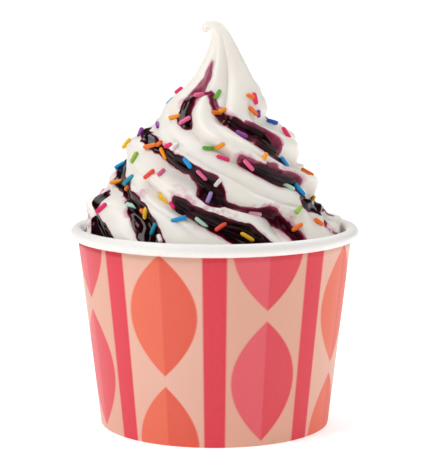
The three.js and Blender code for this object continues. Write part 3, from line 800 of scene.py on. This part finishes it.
def white_paper_material():
    """Coated white paper with fine fibres."""
    n = Nodes(
        "white_paper",
        Roughness=0.4,
        Specular_IOR_Level=0.45,
        Subsurface_Weight=0.1,
        Subsurface_Scale=0.001,
    )
    fibres = n.noise(700, 4, 0.6)
    colour = n.blend(fibres, linear("f5f3f0"), linear("efece8"))
    return n.finish(Base_Color=colour, Normal=n.bump(fibres, 0.15, 0.0001))


# ---- Cup ----

CUP_SIDES = 240
FOOT_STEPS = 4
WALL_STEPS = 30
ROLL_STEPS = 30
INSIDE_STEPS = 24
ROLL_FROM, ROLL_TURN = -120, 300  # degrees: where the roll's section starts, and how far it turns
HEM_CORNER = 0.2  # a row this close to the corner over the hem keeps it sharp
HEM_ROUNDING = 0.3
# The wall's overlap: a step in mm, and in degrees its place, its sharp side and its run-out
SEAM_ANGLE = 97.0
SEAM_STEP = 0.3
SEAM_FALL = 0.35
SEAM_RUN_OUT = (6, 14)
SEAM_COLUMNS = (-SEAM_FALL, -0.2, -0.1, 0, 0.2)  # crowded here, so that the step stays sharp
SEAM_SHARE_AT_RIM = 0.5
# The raised base
BASE_ROUNDING = 0.2
BASE_EDGE_SHARE = 0.7  # of its thickness, up to which its edge is upright
BASE_RING = 4  # how far in from its edge an extra ring lies underneath
CENTRE_RADIUS = 0.01  # of its innermost rings


def wall_profile():
    """The wall's section: (radius, height, True where printed) from the foot round to the hem."""
    profile = [(FOOT_RADIUS - FOOT_ROUNDING, 0.0, True)]
    for i in range(1, FOOT_STEPS + 1):
        angle = math.radians(-90 + 90 * i / FOOT_STEPS)
        radius = wall_radius(FOOT_ROUNDING) - FOOT_ROUNDING * (1 - math.cos(angle))
        profile.append((radius, FOOT_ROUNDING * (1 + math.sin(angle)), True))
    for i in range(1, WALL_STEPS + 1):
        z = mix(FOOT_ROUNDING, WALL_TOP_Z, i / WALL_STEPS)
        profile.append((wall_radius(z), z, True))
    for i in range(ROLL_STEPS + 1):
        angle = math.radians(ROLL_FROM + ROLL_TURN * i / ROLL_STEPS)
        radius = ROLL_CENTRE_R + ROLL_RADIUS * math.cos(angle)
        profile.append((radius, ROLL_CENTRE_Z + ROLL_RADIUS * math.sin(angle), False))
    for i in range(1, INSIDE_STEPS + 1):
        z = mix(ROLL_CENTRE_Z, HEM_HEIGHT, i / INSIDE_STEPS)
        profile.append((wall_radius(z) - PAPER, z, False))
    hem_top = wall_radius(HEM_HEIGHT) - HEM_THICKNESS
    hem_foot = FOOT_RADIUS - HEM_THICKNESS
    profile.append((wall_radius(HEM_HEIGHT) - PAPER - HEM_CORNER, HEM_HEIGHT, False))
    profile.append((hem_top + HEM_ROUNDING, HEM_HEIGHT, False))
    profile.append((hem_top, HEM_HEIGHT - HEM_ROUNDING, False))
    profile.append((hem_foot, HEM_ROUNDING, False))
    profile.append((hem_foot + HEM_ROUNDING, 0.0, False))
    return profile


def seam_lift(angle):
    """The wall's outer ply overlaps here: a sharp step down on one side, a long run-out."""
    past = (angle - SEAM_ANGLE + 180) % 360 - 180
    return SEAM_STEP * np.where(past < 0, ease(past, -SEAM_FALL, 0), 1 - ease(past, *SEAM_RUN_OUT))


def dress_wall(mesh, last, columns, printed_rows):
    """Printed paper outside, white paper elsewhere, and the map that the print goes round on."""
    wrap = mesh.uv_layers.new(name="wrap")
    height = CUP_HEIGHT * MM
    for face in mesh.polygons:
        row = min(face.vertices) // columns
        wraps_end = max(face.vertices) >= last and min(face.vertices) < columns
        face.material_index = 0 if row < printed_rows - 1 and not wraps_end else 1
        spots = [mesh.vertices[i].co for i in face.vertices]
        turns = [math.atan2(c.y, c.x) / math.tau % 1.0 for c in spots]
        if max(turns) - min(turns) > 0.5:
            turns = [u + 1 if u < 0.5 else u for u in turns]
        for loop, u, c in zip(face.loop_indices, turns, spots):
            wrap.data[loop].uv = (u, c.z / height)


def make_cup_wall(printed, white):
    profile = wall_profile()
    angles = np.arange(CUP_SIDES) * 360 / CUP_SIDES
    angles = np.sort(np.concatenate([angles, SEAM_ANGLE + np.array(SEAM_COLUMNS)]))
    overlap = seam_lift(angles)
    rings = []
    for radius, z, is_printed in profile:
        share = 1 if is_printed else SEAM_SHARE_AT_RIM if z > WALL_TOP_Z else 0
        reach = np.minimum(radius + overlap * share, RIM_RADIUS)
        rings.append(ring(reach, np.radians(angles), z))
    rings = np.array(rings)
    rows, columns = rings.shape[:2]
    faces = ring_faces(rows, columns)
    last = (rows - 1) * columns
    for i in range(columns):
        after = (i + 1) % columns
        faces.append((last + i, last + after, after, i))
    points = rings.reshape(-1, 3)
    piece = new_piece("paper_wall", points, faces, [printed, white], "cup_wall")
    printed_rows = sum(1 for _, _, is_printed in profile if is_printed)
    dress_wall(piece.data, last, columns, printed_rows)


def make_cup_base(white):
    """The raised base: a flat paper disc with a softened upper edge."""
    under = HEM_HEIGHT + CLEARANCE
    radius = wall_radius(under) - PAPER - CLEARANCE
    softened = radius - BASE_ROUNDING
    lower = [(CENTRE_RADIUS, 0), (radius - BASE_RING, 0), (softened, 0), (radius, 0)]
    upper = [(radius, PAPER * BASE_EDGE_SHARE), (softened, PAPER), (CENTRE_RADIUS, PAPER)]
    angles = np.radians(np.arange(CUP_SIDES) * 360 / CUP_SIDES)
    rings = [ring(r, angles, under + z) for r, z in lower + upper]
    rows = len(rings)
    faces = ring_faces(rows, CUP_SIDES)
    points = np.array(rings).reshape(-1, 3)
    faces.append(tuple(reversed(range(CUP_SIDES))))
    faces.append(tuple(range((rows - 1) * CUP_SIDES, rows * CUP_SIDES)))
    new_piece("paper_base", points, faces, [white], "cup_base")


# ---- Camera ----

CAMERA_PLACE = Vector((-0.55, -620, 154)) * MM
CAMERA_PITCH = 8.05
LENS = 138.5
SENSOR = 36.0
FRAME_WIDTH, FRAME_HEIGHT = 426, 467


def make_camera():
    camera = bpy.data.objects.new("camera", bpy.data.cameras.new("camera"))
    camera.data.lens = LENS
    camera.data.sensor_width = SENSOR
    camera.data.clip_start = 0.01
    camera.location = CAMERA_PLACE
    camera.rotation_euler = (math.radians(90 - CAMERA_PITCH), 0, 0)
    bpy.context.scene.collection.objects.link(camera)
    bpy.context.scene.camera = camera


def pixel_ray(x, y):
    """The direction from the camera through a pixel of the 426 x 467 frame."""
    span = SENSOR / FRAME_HEIGHT
    way = Vector(((x - FRAME_WIDTH / 2) * span, (FRAME_HEIGHT / 2 - y) * span, -LENS))
    return (Matrix.Rotation(math.radians(90 - CAMERA_PITCH), 3, "X") @ way).normalized()


# ---- Sprinkles ----

SPRINKLE_LENGTH = 4.25
SPRINKLE_RADIUS = 0.75
SPRINKLE_SIDES = 12
SPRINKLE_LIFT = 0.45  # of its middle over the surface, as a share of its radius
SPRINKLE_STATIONS = (-0.985, -0.93, -0.82, -0.6, -0.2, 0.2, 0.6, 0.82, 0.93, 0.985)
STRAIGHT_SHARE = 0.62  # of its length, before its ends round off
END_POWER = 2.6
LENGTH_SPREAD = (0.94, 1.06)
RADIUS_SPREAD = (0.93, 1.07)
OUTLINE_STEP = 2.5

# The front's sprinkles: (pixel x, pixel y, degrees that it points up to the right, colour, its
# length in usual lengths)
FRONT_SPRINKLES = (
    (176.5, 87.5, 30, "hot_pink", 0.8),
    (166.5, 95.5, 30, "blue", 0.9),
    (159, 108, -15, "orange", 0.8),
    (153, 121, -40, "purple", 0.9),
    (140, 130, -30, "purple", 1),
    (175, 117.5, -3, "amber", 1.1),
    (185, 121, 32, "pink", 1.1),
    (199, 95, 15, "pink", 1),
    (218, 94.5, 60, "green", 0.9),
    (216.5, 113, 10, "orange", 1.1),
    (222.6, 110.5, 20, "amber", 0.9),
    (251, 97, -10, "orange", 0.9),
    (254.6, 99, 86, "hot_pink", 1),
    (253, 111, -42, "orange", 1),
    (258, 113.5, -60, "purple", 0.7),
    (272, 122.5, -5, "deep_blue", 1),
    (285.5, 133, -42, "hot_pink", 1.1),
    (242, 134, -22, "purple", 1.1),
    (127, 144, 76, "yellow", 1),
    (150.5, 146.5, -10, "orange", 1.2),
    (160, 143.5, 10, "orange", 0.8),
    (164, 153, -62, "amber", 1),
    (168.6, 145.6, 5, "hot_pink", 0.8),
    (174.5, 147, 65, "white", 1),
    (188, 163, -45, "blue", 1.1),
    (202, 175, -42, "pink", 1.1),
    (218.5, 182.5, 42, "white", 0.9),
    (209, 198.5, 72, "lavender", 1.1),
    (208, 149, 30, "green", 1.1),
    (220, 146, 35, "amber", 1),
    (222.6, 159, 8, "hot_pink", 1.2),
    (248.5, 165, -48, "pink", 1.2),
    (264, 158, 60, "amber", 1),
    (284, 162.5, -22, "blue", 1.2),
    (307, 173, -45, "orange", 1.1),
    (288, 187, -25, "mint", 1.1),
    (299, 190, -40, "blue", 1.2),
    (298, 210.5, 42, "lime", 1.1),
    (255, 213, -18, "pale_pink", 1.1),
    (297, 227.5, 35, "orange", 1.1),
    (318, 222.5, -5, "orange", 1),
    (247, 237.5, -28, "yellow", 1.2),
    (221, 226.5, 38, "red_orange", 1.2),
    (202, 222, -38, "mint", 1.2),
    (179, 219.5, 14, "blue", 1.3),
    (164, 198.5, -28, "yellow", 1.2),
    (173, 204.5, -30, "hot_pink", 0.7),
    (149.5, 174.5, 28, "red_orange", 1.2),
    (161, 173, 70, "pink", 0.9),
    (135, 158, 72, "lime", 1),
    (120.3, 166, 48, "blue", 1),
    (116.2, 182.5, -20, "amber", 1.2),
    (129.2, 180.5, 38, "teal", 1.1),
    (127.9, 187.5, 22, "orange", 1.1),
    (131.6, 206.5, -48, "mint", 1.1),
    (146.2, 213, 50, "yellow", 1.1),
    (143.6, 211.4, -20, "orange", 0.6),
    (154.1, 229.5, 32, "teal", 1.1),
    (160.6, 238.8, -35, "white", 0.8),
    (101.8, 208.5, 30, "hot_pink", 1.1),
    (99, 190.5, 60, "pink", 0.7),
    (312.3, 199, 20, "yellow", 0.7),
)

BACK_SPRINKLES = 64
BACK_SEED = 11
BACK_FROM = 20  # degrees behind the widest line as seen from the front, on both sides
GOLDEN_SHARE = 0.618
BACK_STRAY = 0.04  # share of the whole arc by which one strays from an even spread
BACK_RADII = (17.0, 40.0)  # those of the highest and the lowest
BACK_HEIGHTS = (113, 75)
BACK_STRETCH = (0.85, 1.2)
CAST_FROM = 80


def sprinkle_rings(length, radius):
    """Points of one sprinkle along +X: rings between two ends, softly rounded."""
    rings = []
    for along in SPRINKLE_STATIONS:
        round_off = max(0.0, (abs(along) - STRAIGHT_SHARE) / (1 - STRAIGHT_SHARE))
        size = radius * math.sqrt(1 - round_off**END_POWER)
        turns = np.arange(SPRINKLE_SIDES) * math.tau / SPRINKLE_SIDES
        x = 0 * turns + along * length / 2
        rings.append(np.stack([x, size * np.cos(turns), size * np.sin(turns)], -1))
    return np.array(rings)


def lay_sprinkle(batch, centre, axis, normal, draw, stretch):
    """Adds a sprinkle to its colour's batch, lying on the surface at centre."""
    length = SPRINKLE_LENGTH * stretch * draw.uniform(*LENGTH_SPREAD)
    radius = SPRINKLE_RADIUS * draw.uniform(*RADIUS_SPREAD)
    rings = sprinkle_rings(length, radius)
    axis = (axis - normal * axis.dot(normal)).normalized()
    side = normal.cross(axis)
    turn = np.array([axis, side, normal])
    middle = np.array(centre + normal * radius * SPRINKLE_LIFT)
    ends = np.array([(-length / 2, 0, 0), (length / 2, 0, 0)])
    first = len(batch["points"])
    rows = len(rings)
    batch["points"].extend((rings.reshape(-1, 3) @ turn + middle).tolist())
    batch["points"].extend((ends @ turn + middle).tolist())
    batch["faces"].extend(ring_faces(rows, SPRINKLE_SIDES, first))
    start, end = first + rows * SPRINKLE_SIDES, first + rows * SPRINKLE_SIDES + 1
    last = first + (rows - 1) * SPRINKLE_SIDES
    for i in range(SPRINKLE_SIDES):
        after = (i + 1) % SPRINKLE_SIDES
        batch["faces"].append((start, first + after, first + i))
        batch["faces"].append((end, last + i, last + after))
    batch["tone"].extend([draw.random()] * (rows * SPRINKLE_SIDES + 2))


def surface_tree(*pieces):
    points, faces = [], []
    for piece in pieces:
        first = len(points)
        points.extend(v.co / MM for v in piece.data.vertices)
        faces.extend([first + i for i in face.vertices] for face in piece.data.polygons)
    return BVHTree.FromPolygons(points, faces)


def make_sprinkles(tree):
    draw = random.Random(BACK_SEED)
    batches = {name: {"points": [], "faces": [], "tone": []} for name in SPRINKLE_COLOURS}
    eye = CAMERA_PLACE / MM
    for x, y, heading, colour, stretch in FRONT_SPRINKLES:
        ray = pixel_ray(x, y)
        place, normal, _, _ = tree.ray_cast(eye, ray)
        if place is None:
            # The ray just misses the outline: the mound's nearest point, then a little to the front
            place, normal, _, _ = tree.find_nearest(eye + ray * -eye.y / ray.y)
            place, normal, _, _ = tree.find_nearest(place + Vector((0, -OUTLINE_STEP, 0)))
        if normal.dot(ray) > 0:
            normal = -normal
        slant = math.radians(heading)
        turned = pixel_ray(x + math.cos(slant), y - math.sin(slant))
        lay_sprinkle(batches[colour], place, turned - ray, normal, draw, stretch)
    names = list(SPRINKLE_COLOURS)
    inner, outer = BACK_RADII
    for i in range(BACK_SPRINKLES):
        share = (i + 0.5) / BACK_SPRINKLES
        radius = math.sqrt(mix(inner**2, outer**2, share))
        height = mix(*BACK_HEIGHTS, (radius - inner) / (outer - inner))
        around = (i * GOLDEN_SHARE + draw.uniform(-BACK_STRAY, BACK_STRAY)) % 1
        angle = math.radians(mix(BACK_FROM, 180 - BACK_FROM, around))
        out = Vector((math.cos(angle), math.sin(angle), 0))
        place, normal, _, _ = tree.ray_cast(out * CAST_FROM + Vector((0, 0, height)), -out)
        if normal.dot(out) < 0:
            normal = -normal
        spin = draw.uniform(0, math.tau)
        axis = Vector((math.cos(spin) * -out.y, math.cos(spin) * out.x, math.sin(spin)))
        batch = batches[draw.choice(names)]
        lay_sprinkle(batch, place, axis, normal, draw, draw.uniform(*BACK_STRETCH))
    for name, batch in batches.items():
        material = sprinkle_material(name, SPRINKLE_COLOURS[name])
        piece = new_piece("sprinkles_" + name, batch["points"], batch["faces"], [material])
        set_values(piece.data, "tone", batch["tone"])


# ---- Stage ----

ROOM_LIGHT = (0.9, 0.03)  # low down, and overhead
ROOM_HEIGHTS = (0.02, 0.12)  # the Z of a direction where the light from the room fades
ROOM_FRONT = (0.3, 1)  # shares of it from the front and from behind
ROOM_SIDES = (-0.6, 0.5)  # the Y of a direction between which these shares change
FLOOR_GLOW = (0.5, 1.05)  # where the cup stands, and far away
GLOW_FROM = 0.25
GLOW_TO = 1.1
FLOOR_RADIUS = 20.0
FLOOR_SIDES = 96
LIGHTS_AIM = Vector((0, 0, 80))
# Area lights: (name, place, width and height, power)
AREA_LIGHTS = (
    ("key", (-400, -250, 700), (420, 420), 3.8),
    ("side_right", (760, 40, 420), (700, 700), 2.1),
    ("top_back", (40, 330, 640), (800, 500), 3),
    ("front", (-60, -900, 760), (1500, 800), 2.2),
)


def make_floor():
    n = Nodes("floor", Roughness=0.85, Emission_Color=(1, 1, 1, 1))
    colour = n.blend(n.noise(4, 3), linear("f7f7f7"), linear("f3f3f3"))
    away = n.add("VectorMath", n.add("TexCoord").outputs["Object"], operation="LENGTH").outputs[1]
    glow = n.add("MapRange", away, GLOW_FROM, GLOW_TO, *FLOOR_GLOW).outputs[0]
    material = n.finish(Base_Color=colour, Emission_Strength=glow)
    turns = [i * math.tau / FLOOR_SIDES for i in range(FLOOR_SIDES)]
    mesh = bpy.data.meshes.new("floor")
    points = [(FLOOR_RADIUS * math.cos(t), FLOOR_RADIUS * math.sin(t), 0) for t in turns]
    mesh.from_pydata(points, [], [list(range(FLOOR_SIDES))])
    mesh.materials.append(material)
    floor = bpy.data.objects.new("floor", mesh)
    bpy.context.scene.collection.objects.link(floor)


def area_light(name, place, size, power):
    light = bpy.data.lights.new(name, "AREA")
    light.shape = "RECTANGLE"
    light.size, light.size_y = size[0] * MM, size[1] * MM
    light.energy = power
    item = bpy.data.objects.new(name, light)
    item.location = Vector(place) * MM
    item.rotation_euler = (LIGHTS_AIM - Vector(place)).to_track_quat("-Z", "Y").to_euler()
    bpy.context.scene.collection.objects.link(item)


def room_share(tree, value, ends, interpolation):
    """A value that goes from ends[2] to ends[3] while the given one goes from ends[0] to ends[1]."""
    node = tree.nodes.new("ShaderNodeMapRange")
    node.interpolation_type = interpolation
    for socket, end in zip(node.inputs[1:], ends):
        socket.default_value = end
    tree.links.new(value, node.inputs[0])
    return node.outputs[0]


def make_lights():
    world = bpy.data.worlds.new("studio")
    bpy.context.scene.world = world
    world.use_nodes = True
    tree = world.node_tree
    background = tree.nodes["Background"]
    background.inputs["Color"].default_value = (1, 1, 1, 1)
    place = tree.nodes.new("ShaderNodeTexCoord")
    split = tree.nodes.new("ShaderNodeSeparateXYZ")
    strength = tree.nodes.new("ShaderNodeMath")
    strength.operation = "MULTIPLY"
    tree.links.new(place.outputs["Generated"], split.inputs[0])
    upward = room_share(tree, split.outputs[2], ROOM_HEIGHTS + ROOM_LIGHT, "SMOOTHSTEP")
    backward = room_share(tree, split.outputs[1], ROOM_SIDES + ROOM_FRONT, "LINEAR")
    tree.links.new(upward, strength.inputs[0])
    tree.links.new(backward, strength.inputs[1])
    tree.links.new(strength.outputs[0], background.inputs["Strength"])
    for light in AREA_LIGHTS:
        area_light(*light)


# ---- Building ----

bpy.context.scene.view_settings.view_transform = "Standard"
make_camera()
yogurt_points, sauce_points, sauce_inside, sauce_thickness, smear_inside = mound_grid()
yogurt_piece = make_yogurt(yogurt_points, sauce_inside, smear_inside, yogurt_material())
sauce_piece = make_sauce(sauce_points, sauce_inside, sauce_thickness, sauce_material())
make_sprinkles(surface_tree(yogurt_piece, sauce_piece))
white_paper = white_paper_material()
make_cup_wall(printed_paper_material(), white_paper)
make_cup_base(white_paper)
make_floor()
make_lights()
